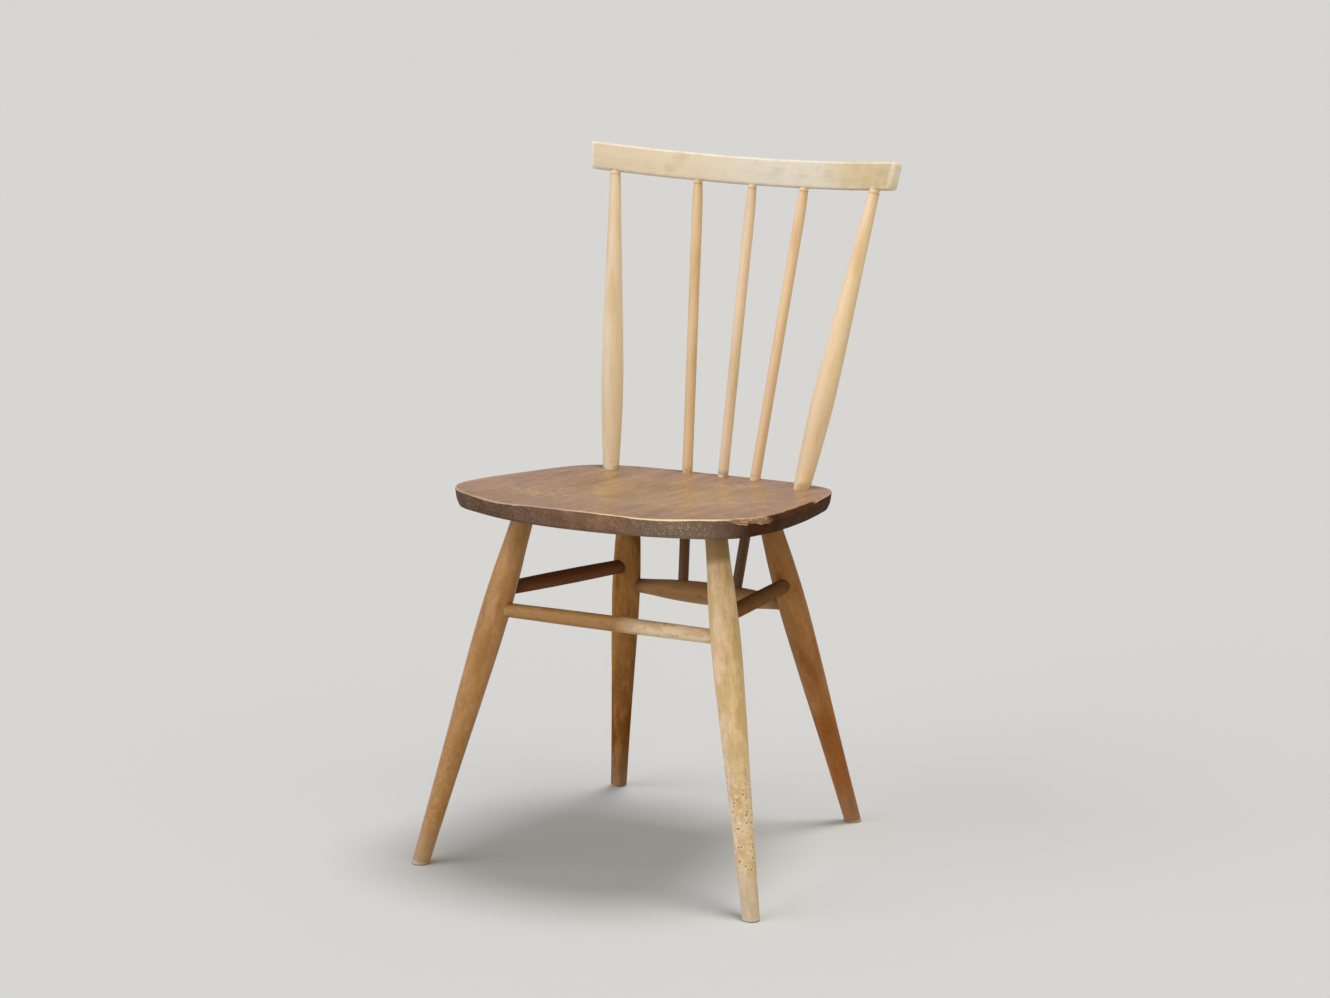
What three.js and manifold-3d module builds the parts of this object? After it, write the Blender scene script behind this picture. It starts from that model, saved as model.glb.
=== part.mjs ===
// A worn stick-back kitchen chair: a dished wooden seat on four turned legs that are tied
// by four stretchers, with five turned sticks rising to a bent crest rail.
// Millimetres, +Z up, feet on z = 0. The front faces -Y, and +X is the right as seen from the front.
import * as THREE from 'three';
import { mergeVertices } from 'three/addons/utils/BufferGeometryUtils.js';
import Module from 'manifold-3d';

const wasm = await Module();
wasm.setup();

// Fit between pieces
const CLEARANCE = 0.3;

// Seat
const SEAT_HEIGHT = 429;
const SEAT_SLOPE = 0.062;
const SEAT_THICKNESS = 26;
const SEAT_FRONT = -213;
const SEAT_BACK = 192;
const SEAT_HALF_WIDTH = 195;
// The right half of the outline, from the middle of the front: each stretch bends towards a point
const SEAT_STRETCHES = [
  { bend: [83.6, SEAT_FRONT], end: [152, -172] },
  { bend: [SEAT_HALF_WIDTH, -140], end: [SEAT_HALF_WIDTH, -80] },
  { bend: [193, 0], end: [174, 90] },
  { bend: [166, 145], end: [134, 160] },
  { bend: [73.7, SEAT_BACK], end: [0, SEAT_BACK] },
];
// The section of the rim, as an inset from the outline and a drop from the top
const SEAT_RIM = [[3.2, 0], [1.4, 0.4], [0.4, 1.4], [0, 3.2], [1.5, 13], [4.5, 20], [24, SEAT_THICKNESS]];
const SEAT_STEPS = 60;
const SEAT_RING_SHARES = [0.14, 0.3, 0.46, 0.62, 0.77, 0.9];
const SEAT_SOCKET_DEPTH = 17;

// The dished top: a bowl, two thigh dips at the front and a lowered middle of the back rim
const BOWL = { depth: 7, y: 5, halfWidth: 115, halfLength: 105 };
const THIGH_DIPS = { depth: 2.5, spread: 92, radius: 45, from: 40, to: 150 };
const BACK_DIP = { depth: 3.5, halfWidth: 100, from: 60, to: 150 };

// Legs: feet on the floor and the points where the axes meet the underside of the seat
const FRONT_FOOT = new THREE.Vector2(209.5, -170);
const REAR_FOOT = new THREE.Vector2(159, 224.5);
const FRONT_LEG_TOP = new THREE.Vector2(119.5, -87);
const REAR_LEG_TOP = new THREE.Vector2(88.5, 109.5);
const LEG_FOOT_RADIUS = 9.8;
const LEG_BELLY_RADIUS = 16.7;
const LEG_NECK_RADIUS = 12.4;
// Shares of the length and how full the leg is there, from the foot's radius to the belly's
const LEG_SWELL = [[0.16, 0.2], [0.34, 0.48], [0.52, 0.82], [0.7, 1], [0.82, 0.83], [0.93, 0.48]];
// The blank reaches this far below the floor before the foot is cut level
const LEG_TRIM = 8;

// Stretchers: heights on the leg axes and radii
const FRONT_STRETCHER_HEIGHT = 295;
const SIDE_STRETCHER_FRONT_HEIGHT = 317;
const SIDE_STRETCHER_REAR_HEIGHT = 303;
const REAR_STRETCHER_HEIGHT = 278;
const STRETCHER_END_RADIUS = 8.2;
const STRETCHER_BELLY_RADIUS = 8.8;
const REAR_STRETCHER_END_RADIUS = 8.3;
const REAR_STRETCHER_BELLY_RADIUS = 13.4;
const STRETCHER_SWELL = [[0, 0], [0.07, 0.04], [0.29, 0.74], [0.5, 1], [0.71, 0.74], [0.93, 0.04], [1, 0]];
// The gap between a stretcher's end and the axis of the leg that holds it
const STRETCHER_AXIS_GAP = 3;

// Sticks: where the axes leave the seat plane and where they meet the rail
const OUTER_STICK_FOOT = new THREE.Vector2(124.5, 130);
const INNER_STICK_FOOT = new THREE.Vector2(44.5, 173.5);
const CENTRE_STICK_FOOT = new THREE.Vector2(0, 179);
const OUTER_STICK_SPREAD = 169;
const INNER_STICK_SPREAD = 69.5;
const OUTER_STICK_TENON_RADIUS = 8.8;
// Shares of the visible length and the radius there
const OUTER_STICK_RADII = [
  [0, 9.5], [0.14, 11.9], [0.28, 13.1], [0.42, 12.4], [0.62, 10.2], [0.86, 7.7], [1, 6.1],
];
const INNER_STICK_RADIUS = 6.2;
// Distances below the rail and the radius there
const INNER_STICK_TAPER = [[34, 6.2], [15, 5.7], [2, 5]];
const STICK_TIP_RADIUS = 4.8;
const RAIL_SOCKET_DEPTH = 16;

// Crest rail: a board bent to an arc and leaning back, which has settled a little lower on the right
const RAIL_UNDERSIDE = new THREE.Vector3(0, 247.5, 754.5);
const RAIL_RAKE = THREE.MathUtils.degToRad(15);
const RAIL_LEAN = 0.012;
const RAIL_RADIUS = 508;
const RAIL_HALF_LENGTH = 204;
const RAIL_END_SPLAY = 4.5;
const RAIL_HEIGHT = 32.5;
const RAIL_THICKNESS = 15;
const RAIL_EDGE_RADIUS = 3.5;
const RAIL_CORNER_RADIUS = 4.5;
const RAIL_STEPS = 18;
const RAIL_CORNER_STEPS = 4;
const RAIL_ARC_STEPS = 3;

// Facets of the turned members
const TURNED_SIDES = 16;
const LONG_STEPS = 20;
const SHORT_STEPS = 14;
const PLAIN_STEPS = 16;

// A block under the floor, which cuts the feet level
const FLOOR_WIDTH = 800;
const FLOOR_DEPTH = 60;

const crestWood = new THREE.MeshStandardMaterial({ color: 0xd6c6a2, roughness: 0.62, metalness: 0 });
const stickWood = new THREE.MeshStandardMaterial({ color: 0xc8a878, roughness: 0.55, metalness: 0 });
const legWood = new THREE.MeshStandardMaterial({ color: 0xb07a48, roughness: 0.5, metalness: 0 });
const seatWood = new THREE.MeshStandardMaterial({ color: 0x8c7768, roughness: 0.8, metalness: 0 });

// Height of the seat plane, before the dishing, at a depth y
function seatPlane(y) {
  return SEAT_HEIGHT - SEAT_SLOPE * y;
}

// A closed manifold solid from a geometry with its shared corners merged
function toSolid(geometry) {
  const bare = geometry.clone();
  for (const name of ['normal', 'uv']) {
    bare.deleteAttribute(name);
  }
  const merged = mergeVertices(bare, 1e-4);
  const corners = merged.index.array;
  const kept = [];
  for (let i = 0; i < corners.length; i += 3) {
    const [a, b, c] = corners.slice(i, i + 3);
    if (a !== b && b !== c && c !== a) {
      kept.push(a, b, c);
    }
  }
  return new wasm.Manifold(new wasm.Mesh({
    numProp: 3,
    vertProperties: new Float32Array(merged.attributes.position.array),
    triVerts: new Uint32Array(kept),
  }));
}

function toGeometry(solid) {
  const mesh = solid.getMesh();
  const geometry = new THREE.BufferGeometry();
  geometry.setAttribute('position', new THREE.BufferAttribute(mesh.vertProperties, 3));
  geometry.setIndex(new THREE.BufferAttribute(mesh.triVerts, 1));
  geometry.computeVertexNormals();
  return geometry;
}

// Takes the cutters, each placed in the chair's frame, out of a placed mesh
function carve(mesh, cutters) {
  mesh.updateMatrix();
  const toLocal = mesh.matrix.clone().invert();
  let solid = toSolid(mesh.geometry);
  for (const cutter of cutters) {
    cutter.updateMatrix();
    const place = toLocal.clone().multiply(cutter.matrix);
    solid = solid.subtract(toSolid(cutter.geometry.clone().applyMatrix4(place)));
  }
  mesh.geometry = toGeometry(solid);
}

// A closed skin over rings of equal length, with a fan at each end
function loft(rings) {
  const count = rings[0].length;
  const middle = (ring) => ring.reduce((sum, p) => sum.add(p), new THREE.Vector3()).divideScalar(count);
  const points = [middle(rings[0]), ...rings.flat(), middle(rings.at(-1))];
  const last = points.length - 1;
  const index = [];
  for (let i = 0; i < count; i++) {
    const next = (i + 1) % count;
    index.push(0, 1 + i, 1 + next);
    index.push(last, last - count + next, last - count + i);
    for (let r = 0; r < rings.length - 1; r++) {
      const a = 1 + r * count + i;
      const b = 1 + r * count + next;
      index.push(a, a + count, b, b, a + count, b + count);
    }
  }
  const geometry = new THREE.BufferGeometry().setFromPoints(points);
  geometry.setIndex(index);
  geometry.computeVertexNormals();
  return geometry;
}

// A smooth turned profile through a few radii given at heights, closed on the axis
function turnedProfile(stations, grow, steps) {
  const curve = new THREE.SplineCurve(stations.map(([height, radius]) => new THREE.Vector2(radius, height)));
  const outline = curve.getPoints(steps);
  for (const p of outline) {
    p.x += grow;
  }
  const bottom = stations[0][0] - grow;
  const top = stations.at(-1)[0] + grow;
  outline[0].y = bottom;
  outline.at(-1).y = top;
  return [new THREE.Vector2(0, bottom), ...outline, new THREE.Vector2(0, top)];
}

// A turned member whose axis runs from one point to another
function turnedMember(name, from, to, stations, material, grow, steps) {
  const geometry = new THREE.LatheGeometry(turnedProfile(stations, grow, steps), TURNED_SIDES);
  const mesh = new THREE.Mesh(geometry, material);
  mesh.name = name;
  mesh.position.copy(from);
  const axis = to.clone().sub(from).normalize();
  mesh.quaternion.setFromUnitVectors(new THREE.Vector3(0, 1, 0), axis);
  return mesh;
}

// A member and its larger twin, which cuts the sockets that it sits in
function member(name, from, to, stations, material, steps) {
  return {
    mesh: turnedMember(name, from, to, stations, material, 0, steps),
    socket: turnedMember(name, from, to, stations, material, CLEARANCE, steps),
  };
}

// Shares and radii from shares and how full the member is there
function swollen(swell, least, most) {
  return swell.map(([share, fullness]) => [share, least + (most - least) * fullness]);
}

function lerp(a, b, t) {
  return a.clone().lerp(b, t);
}

// The point of a leg's axis at a height
function onLeg(leg, z) {
  return lerp(leg.foot, leg.top, (z - leg.foot.z) / (leg.top.z - leg.foot.z));
}

// Seat
// Half of the outline, from the middle of the front to the middle of the back
function seatHalfOutline() {
  const path = new THREE.Path();
  path.moveTo(0, SEAT_FRONT);
  for (const { bend, end } of SEAT_STRETCHES) {
    path.quadraticCurveTo(...bend, ...end);
  }
  return path.getSpacedPoints(SEAT_STEPS / 2);
}

function seatOutline() {
  const right = seatHalfOutline();
  const left = right.slice(1, -1).reverse().map((p) => new THREE.Vector2(-p.x, p.y));
  return [...right, ...left];
}

// A smooth hump that is 1 in the middle and falls off to either side
function hump(distance, reach) {
  return Math.exp(-((distance / reach) ** 2));
}

// How far the top lies below the seat plane
function dishing(x, y) {
  const bowl = BOWL.depth * hump(x, BOWL.halfWidth) * hump(y - BOWL.y, BOWL.halfLength);
  const front = THREE.MathUtils.smoothstep(-y, THIGH_DIPS.from, THIGH_DIPS.to);
  const thighs = THIGH_DIPS.depth * front * hump(Math.abs(x) - THIGH_DIPS.spread, THIGH_DIPS.radius);
  const back = THREE.MathUtils.smoothstep(y, BACK_DIP.from, BACK_DIP.to);
  return bowl + thighs + BACK_DIP.depth * back * hump(x, BACK_DIP.halfWidth);
}

function seat() {
  const outline = seatOutline();
  const count = outline.length;
  const topInset = SEAT_RIM[0][0];
  const inset = (i, distance) => {
    const along = outline[(i + 1) % count].clone().sub(outline[(i + count - 1) % count]).normalize();
    return outline[i].clone().add(new THREE.Vector2(-along.y, along.x).multiplyScalar(distance));
  };
  const surface = (p, drop) => {
    const sunk = drop < SEAT_THICKNESS / 2 ? dishing(p.x, p.y) : 0;
    return new THREE.Vector3(p.x, p.y, seatPlane(p.y) - drop - sunk);
  };
  const rings = [];
  for (const share of SEAT_RING_SHARES) {
    rings.push(outline.map((p, i) => surface(inset(i, topInset).multiplyScalar(share), 0)));
  }
  for (const [distance, drop] of SEAT_RIM) {
    rings.push(outline.map((p, i) => surface(inset(i, distance), drop)));
  }
  const mesh = new THREE.Mesh(loft(rings), seatWood);
  mesh.name = 'seat';
  return mesh;
}

// Legs
function legEnds(foot, top, side) {
  return {
    foot: new THREE.Vector3(foot.x * side, foot.y, 0),
    top: new THREE.Vector3(top.x * side, top.y, seatPlane(top.y) - SEAT_THICKNESS),
  };
}

// Slim at the foot, fullest where the stretchers enter and drawn in to a neck under the seat
function leg(name, ends) {
  const axis = ends.top.clone().sub(ends.foot);
  const length = axis.length();
  const from = ends.foot.clone().addScaledVector(axis, -LEG_TRIM / length);
  const top = LEG_TRIM + length;
  const swell = swollen(LEG_SWELL, LEG_FOOT_RADIUS, LEG_BELLY_RADIUS);
  const stations = [
    [0, LEG_FOOT_RADIUS],
    ...swell.map(([share, radius]) => [LEG_TRIM + length * share, radius]),
    [top, LEG_NECK_RADIUS],
    [top + SEAT_SOCKET_DEPTH, LEG_NECK_RADIUS],
  ];
  return { ...member(name, from, ends.top, stations, legWood, LONG_STEPS), ...ends };
}

// Stretchers
function stretcher(name, a, b, endRadius, bellyRadius) {
  const axis = b.clone().sub(a);
  const length = axis.length();
  const from = a.clone().addScaledVector(axis, STRETCHER_AXIS_GAP / length);
  const reach = length - 2 * STRETCHER_AXIS_GAP;
  const swell = swollen(STRETCHER_SWELL, endRadius, bellyRadius);
  const stations = swell.map(([share, radius]) => [reach * share, radius]);
  return member(name, from, b, stations, legWood, SHORT_STEPS);
}

// Crest rail
// A point of the rail: along its arc from the middle, up its face and out of its front face
function railPoint(along, up, out) {
  const angle = along / RAIL_RADIUS;
  const x = (RAIL_RADIUS - out) * Math.sin(angle);
  const forward = RAIL_RADIUS - (RAIL_RADIUS - out) * Math.cos(angle);
  return new THREE.Vector3(
    x,
    RAIL_UNDERSIDE.y - forward * Math.cos(RAIL_RAKE) + up * Math.sin(RAIL_RAKE),
    RAIL_UNDERSIDE.z + forward * Math.sin(RAIL_RAKE) + up * Math.cos(RAIL_RAKE) - RAIL_LEAN * x,
  );
}

// The rail's rounded oblong section, drawn in by the given amount all round
function railSection(shrink) {
  const height = RAIL_HEIGHT - 2 * shrink;
  const thickness = RAIL_THICKNESS - Math.min(2 * shrink, RAIL_THICKNESS * 0.6);
  const radius = Math.min(RAIL_EDGE_RADIUS, thickness / 2 - 0.2);
  const corners = [[1, 1], [-1, 1], [-1, -1], [1, -1]];
  const points = [];
  for (const [k, [sideOut, sideUp]] of corners.entries()) {
    for (let step = 0; step <= RAIL_ARC_STEPS; step++) {
      const angle = (k + step / RAIL_ARC_STEPS) * Math.PI / 2;
      points.push(new THREE.Vector2(
        sideOut * (thickness / 2 - radius) + radius * Math.cos(angle),
        RAIL_HEIGHT / 2 + sideUp * (height / 2 - radius) + radius * Math.sin(angle),
      ));
    }
  }
  return points;
}

function crestRail() {
  const flatHalf = RAIL_HALF_LENGTH - RAIL_CORNER_RADIUS;
  const stations = [];
  for (let i = 0; i <= RAIL_STEPS; i++) {
    stations.push([flatHalf * (2 * i / RAIL_STEPS - 1), 0]);
  }
  for (let i = 1; i <= RAIL_CORNER_STEPS; i++) {
    const angle = (i / RAIL_CORNER_STEPS) * Math.PI / 2;
    const station = flatHalf + RAIL_CORNER_RADIUS * Math.sin(angle);
    const shrink = RAIL_CORNER_RADIUS * (1 - Math.cos(angle));
    stations.push([station, shrink]);
    stations.unshift([-station, shrink]);
  }
  const rings = stations.map(([along, shrink]) => railSection(shrink).map(({ x: out, y: up }) => {
    const splay = RAIL_END_SPLAY * (up / RAIL_HEIGHT - 0.5) * along / RAIL_HALF_LENGTH;
    return railPoint(along + splay, up, out);
  }));
  const mesh = new THREE.Mesh(loft(rings), crestWood);
  mesh.name = 'crest_rail';
  return mesh;
}

// Sticks
function stickTop(spread, side) {
  return railPoint(side * RAIL_RADIUS * Math.asin(spread / RAIL_RADIUS), 0, 0);
}

function seatPoint(foot, side) {
  const drop = dishing(foot.x, foot.y);
  return new THREE.Vector3(foot.x * side, foot.y, seatPlane(foot.y) - drop);
}

// A heavy outer stick with a bulb low down and a slender upper half
function outerStick(name, side) {
  const foot = seatPoint(OUTER_STICK_FOOT, side);
  const top = stickTop(OUTER_STICK_SPREAD, side);
  const length = top.distanceTo(foot);
  const from = foot.clone().lerp(top, -SEAT_SOCKET_DEPTH / length);
  const stations = [
    [0, OUTER_STICK_TENON_RADIUS],
    ...OUTER_STICK_RADII.map(([share, radius]) => [SEAT_SOCKET_DEPTH + length * share, radius]),
    [SEAT_SOCKET_DEPTH + length + RAIL_SOCKET_DEPTH, STICK_TIP_RADIUS],
  ];
  return member(name, from, top, stations, stickWood, LONG_STEPS);
}

// A plain round stick, drawn in just below the rail; depth is how far it runs below the seat's top
function plainStick(name, foot, spread, side, depth) {
  const start = seatPoint(foot, side);
  const top = stickTop(spread, side);
  const length = top.distanceTo(start);
  const from = start.clone().lerp(top, -depth / length);
  const end = depth + length;
  const stations = [
    [0, INNER_STICK_RADIUS],
    [end / 3, INNER_STICK_RADIUS],
    [end * 2 / 3, INNER_STICK_RADIUS],
    ...INNER_STICK_TAPER.map(([below, radius]) => [end - below, radius]),
    [end + RAIL_SOCKET_DEPTH, STICK_TIP_RADIUS],
  ];
  return member(name, from, top, stations, stickWood, PLAIN_STEPS);
}

// How far an inner stick runs below the seat's top to end in the rear stretcher
function innerStickDepth(start, top) {
  const rise = (top.z - start.z) / top.distanceTo(start);
  return (start.z - REAR_STRETCHER_HEIGHT - 1) / rise;
}

// Assembly
const legs = {};
for (const [sideName, side] of [['left', -1], ['right', 1]]) {
  legs[`front_${sideName}`] = leg(`front_${sideName}_leg`, legEnds(FRONT_FOOT, FRONT_LEG_TOP, side));
  legs[`rear_${sideName}`] = leg(`rear_${sideName}_leg`, legEnds(REAR_FOOT, REAR_LEG_TOP, side));
}

const frontStretcher = stretcher(
  'front_stretcher',
  onLeg(legs.front_left, FRONT_STRETCHER_HEIGHT),
  onLeg(legs.front_right, FRONT_STRETCHER_HEIGHT),
  STRETCHER_END_RADIUS,
  STRETCHER_BELLY_RADIUS,
);
const rearStretcher = stretcher(
  'rear_stretcher',
  onLeg(legs.rear_left, REAR_STRETCHER_HEIGHT),
  onLeg(legs.rear_right, REAR_STRETCHER_HEIGHT),
  REAR_STRETCHER_END_RADIUS,
  REAR_STRETCHER_BELLY_RADIUS,
);
const sideStretchers = {};
for (const sideName of ['left', 'right']) {
  sideStretchers[sideName] = stretcher(
    `${sideName}_side_stretcher`,
    onLeg(legs[`front_${sideName}`], SIDE_STRETCHER_FRONT_HEIGHT),
    onLeg(legs[`rear_${sideName}`], SIDE_STRETCHER_REAR_HEIGHT),
    STRETCHER_END_RADIUS,
    STRETCHER_BELLY_RADIUS,
  );
}

const innerDepth = innerStickDepth(seatPoint(INNER_STICK_FOOT, 1), stickTop(INNER_STICK_SPREAD, 1));
const outerSticks = [outerStick('left_outer_stick', -1), outerStick('right_outer_stick', 1)];
const innerSticks = [
  plainStick('left_inner_stick', INNER_STICK_FOOT, INNER_STICK_SPREAD, -1, innerDepth),
  plainStick('right_inner_stick', INNER_STICK_FOOT, INNER_STICK_SPREAD, 1, innerDepth),
];
const centreStick = plainStick('centre_stick', CENTRE_STICK_FOOT, 0, 1, SEAT_SOCKET_DEPTH);
const sticks = [...outerSticks, ...innerSticks, centreStick];

const seatMesh = seat();
const railMesh = crestRail();
carve(seatMesh, [...Object.values(legs), ...sticks].map((piece) => piece.socket));
carve(railMesh, sticks.map((piece) => piece.socket));
carve(rearStretcher.mesh, innerSticks.map((piece) => piece.socket));

// The feet are cut level with the floor
const floor = new THREE.Mesh(new THREE.BoxGeometry(FLOOR_WIDTH, FLOOR_WIDTH, FLOOR_DEPTH));
floor.position.z = -FLOOR_DEPTH / 2;
for (const [name, piece] of Object.entries(legs)) {
  const [end, sideName] = name.split('_');
  const cross = end === 'front' ? frontStretcher : rearStretcher;
  carve(piece.mesh, [cross.socket, sideStretchers[sideName].socket, floor]);
}

const chair = new THREE.Group();
chair.add(seatMesh, railMesh);
for (const piece of [
  ...Object.values(legs), frontStretcher, rearStretcher, ...Object.values(sideStretchers), ...sticks,
]) {
  chair.add(piece.mesh);
}

// The origin is on the floor, in the middle of the chair's length and depth
const extent = new THREE.Box3().setFromObject(chair, true);
chair.position.y = -(extent.min.y + extent.max.y) / 2;
chair.updateMatrixWorld(true);

export default chair;
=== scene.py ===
"""The looks of a worn stick-back kitchen chair, laid out as an add-on and run as a script."""
import math

import bmesh
import bpy
import numpy as np
from bpy.props import FloatProperty, FloatVectorProperty, IntProperty, PointerProperty
from mathutils import Matrix, Vector, noise


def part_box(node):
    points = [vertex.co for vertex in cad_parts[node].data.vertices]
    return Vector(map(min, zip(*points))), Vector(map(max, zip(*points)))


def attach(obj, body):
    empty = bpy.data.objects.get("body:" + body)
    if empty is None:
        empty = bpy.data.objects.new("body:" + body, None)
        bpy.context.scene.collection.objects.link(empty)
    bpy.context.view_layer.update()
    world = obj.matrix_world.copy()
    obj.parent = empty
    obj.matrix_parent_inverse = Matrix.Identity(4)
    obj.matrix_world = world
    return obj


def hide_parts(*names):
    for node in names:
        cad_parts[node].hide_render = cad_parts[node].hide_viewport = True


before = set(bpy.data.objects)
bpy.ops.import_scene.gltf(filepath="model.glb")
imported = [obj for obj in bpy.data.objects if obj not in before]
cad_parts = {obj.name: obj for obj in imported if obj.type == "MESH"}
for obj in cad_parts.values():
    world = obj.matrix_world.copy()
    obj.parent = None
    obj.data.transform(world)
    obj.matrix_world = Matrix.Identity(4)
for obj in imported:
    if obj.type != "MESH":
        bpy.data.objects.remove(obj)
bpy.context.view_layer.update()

bl_info = {
    "name": "Worn Stick-Back Chair",
    "version": (1, 0, 0),
    "blender": (4, 5, 0),
    "location": "View3D > Sidebar > Chair",
    "description": "Makes a worn stick-back kitchen chair, piece by piece",
    "category": "Add Mesh",
}

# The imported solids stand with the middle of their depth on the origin. The sizes below are
# measured from the chair's own datum, which lies this far behind or before it.
SEAT_FRONT = -0.213
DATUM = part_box("seat")[0].y - SEAT_FRONT
SIDES = {"left": -1, "right": 1}

# A leg's foot and the point where its axis meets the underside of the seat
FRONT_LEG = ((0.2095, -0.170), (0.1195, -0.087))
REAR_LEG = ((0.159, 0.2245), (0.0885, 0.1095))
# A stick's foot on the seat and its distance from the middle at the rail
OUTER_STICK = ((0.1245, 0.130), 0.169)
INNER_STICK = ((0.0445, 0.1735), 0.0695)
CENTRE_STICK = ((0.0, 0.179), 0.0)
# How deep the tenons sit, and how far a stretcher's end stays from the axis of its leg
SEAT_SOCKET = 0.017
RAIL_SOCKET = 0.016
STRETCHER_GAP = 0.003
# Heights on the axes of the legs
FRONT_STRETCHER_HEIGHT = 0.295
SIDE_STRETCHER_HEIGHTS = (0.317, 0.303)
REAR_STRETCHER_HEIGHT = 0.278


# Settings


def size(name, default, description):
    return FloatProperty(name=name, default=default, unit="LENGTH", description=description)


def angle(name, degrees, description):
    return FloatProperty(name=name, default=math.radians(degrees), subtype="ANGLE", description=description)


def plain(name, default, description):
    return FloatProperty(name=name, default=default, description=description)


def whole(name, default, description):
    return IntProperty(name=name, default=default, description=description)


def colour(name, default, description):
    return FloatVectorProperty(
        name=name, default=default, size=3, min=0, max=1, subtype="COLOR", description=description
    )


class ChairSeatSizes(bpy.types.PropertyGroup):
    height: size("Height", 0.429, "Height of the seat plane at the datum")
    slope: plain("Slope", 0.062, "Fall of the seat towards the back")
    thickness: size("Thickness", 0.026, "Thickness of the seat board")
    back: size("Back", 0.192, "Middle of the back edge")
    half_width: size("Half width", 0.195, "Half of the width at the widest place")
    dish: size("Dish", 0.007, "Depth of the bowl")
    thigh_dip: size("Thigh dips", 0.0025, "Depth of the two dips at the front")
    rim_dip: size("Rim dip", 0.0035, "How far the middle of the back rim is lowered")
    chip_width: size("Chip width", 0.0055, "How far the broken corner reaches over the top")
    chip_depth: size("Chip depth", 0.0062, "How far the broken corner reaches down the edge")
    steps: whole("Steps", 520, "Points round the outline")


class ChairTurningSizes(bpy.types.PropertyGroup):
    foot: size("Foot radius", 0.0098, "Radius of a leg at the floor")
    belly: size("Leg radius", 0.0167, "Largest radius of a leg")
    neck: size("Neck radius", 0.0124, "Radius of a leg under the seat")
    stretcher_end: size("Stretcher end", 0.0082, "Radius of a stretcher at its ends")
    stretcher_belly: size("Stretcher middle", 0.0088, "Radius of a stretcher in the middle")
    rear_end: size("Rear stretcher end", 0.0083, "Radius of the rear stretcher at its ends")
    rear_belly: size("Rear stretcher middle", 0.0134, "Radius of the rear stretcher in the middle")
    outer_foot: size("Outer stick foot", 0.0095, "Radius of an outer stick at the seat")
    outer_bulb: size("Outer stick bulb", 0.0131, "Largest radius of an outer stick")
    outer_top: size("Outer stick top", 0.0061, "Radius of an outer stick at the rail")
    inner: size("Inner stick", 0.0062, "Radius of the three inner sticks")
    tip: size("Stick tip", 0.0048, "Radius of a stick's tip in the rail")
    unevenness: size("Unevenness", 0.00035, "How far old turned wood swells and shrinks")
    sides: whole("Sides", 56, "Points round a turned piece")
    rings: whole("Rings", 110, "Rings along a turned piece")


class ChairRailSizes(bpy.types.PropertyGroup):
    depth: size("Depth", 0.2475, "Depth of the middle of the underside behind the datum")
    height: size("Height", 0.7545, "Height of the middle of the underside")
    rake: angle("Rake", 15, "Lean of the rail")
    lean: plain("Lean", 0.012, "Drop towards the right, as a slope")
    radius: size("Radius", 0.508, "Radius of the bend")
    half_length: size("Half length", 0.204, "Half of the length along the bend")
    splay: size("Splay", 0.0045, "How much longer the top edge is at each end")
    board: size("Board height", 0.0325, "Height of the board")
    thickness: size("Thickness", 0.015, "Thickness of the board")
    edge: size("Edge radius", 0.0035, "Radius of the long edges")
    corner: size("Corner radius", 0.0045, "Radius of the corners at the ends")


class ChairColours(bpy.types.PropertyGroup):
    seat: colour("Seat", (0.36, 0.202, 0.086), "Tan middle of the seat's top")
    seat_rim: colour("Seat rim", (0.335, 0.182, 0.102), "Pinker wood towards the rim")
    seat_edge: colour("Seat edge", (0.145, 0.084, 0.054), "Grimy front edge of the seat")
    seat_side: colour("Seat sides", (0.056, 0.019, 0.006), "Darker long-grain sides of the seat")
    arris: colour("Arris", (0.66, 0.47, 0.31), "Rubbed and broken wood")
    rail: colour("Rail", (0.66, 0.545, 0.40), "Crest rail")
    rail_worn: colour("Rail, rubbed", (0.62, 0.57, 0.50), "Rubbed middle of the crest rail")
    rail_end: colour("Rail, right end", (0.53, 0.385, 0.155), "Yellower right end of the crest rail")
    stick: colour("Sticks", (0.735, 0.555, 0.37), "Straw-coloured sticks")
    leg_pale: colour("Pale leg", (0.655, 0.46, 0.255), "Upper half of the right front leg")
    leg_worn: colour("Worn leg", (0.65, 0.505, 0.365), "Greyer lower half of the right front leg")
    leg_honey: colour("Honey leg", (0.445, 0.232, 0.088), "Left front leg and two of the stretchers")
    leg_ochre: colour("Ochre leg", (0.255, 0.120, 0.037), "Upper half of the left rear leg")
    leg_olive: colour("Olive leg", (0.318, 0.150, 0.052), "Upper half of the right rear leg")
    leg_red: colour("Red leg", (0.290, 0.102, 0.024), "Redder lower halves of the rear legs")
    bare: colour("Bare wood", (0.80, 0.62, 0.42), "Fresh wood where the surface is gone")
    grime: colour("Grime", (0.075, 0.045, 0.025), "Dirt in dents, pores and corners")
    floor: colour("Floor", (0.55, 0.555, 0.56), "Plain pale floor")


class ChairStageSettings(bpy.types.PropertyGroup):
    lens: plain("Lens", 86.632, "Focal length for a 36 mm wide frame")
    yaw: angle("Yaw", 26.624, "Turn of the camera")
    pitch: angle("Pitch", 11.168, "Look down")
    roll: angle("Roll", 0.716, "Tilt of the frame")
    place: FloatVectorProperty(
        name="Place", default=(1.6122, -3.190, 1.123), subtype="XYZ", unit="LENGTH",
        description="Camera, measured from the datum",
    )


# Nodes and shader maths


def add_node(tree, kind, settings, inputs):
    """A node: its settings are made first, and then its sockets are linked or get their values."""
    node = tree.nodes.new(kind)
    for key, value in (settings or {}).items():
        setattr(node, key, value)
    for key, value in (inputs or {}).items():
        if isinstance(value, bpy.types.NodeSocket):
            tree.links.new(value, node.inputs[key])
        else:
            node.inputs[key].default_value = value
    return node


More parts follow.
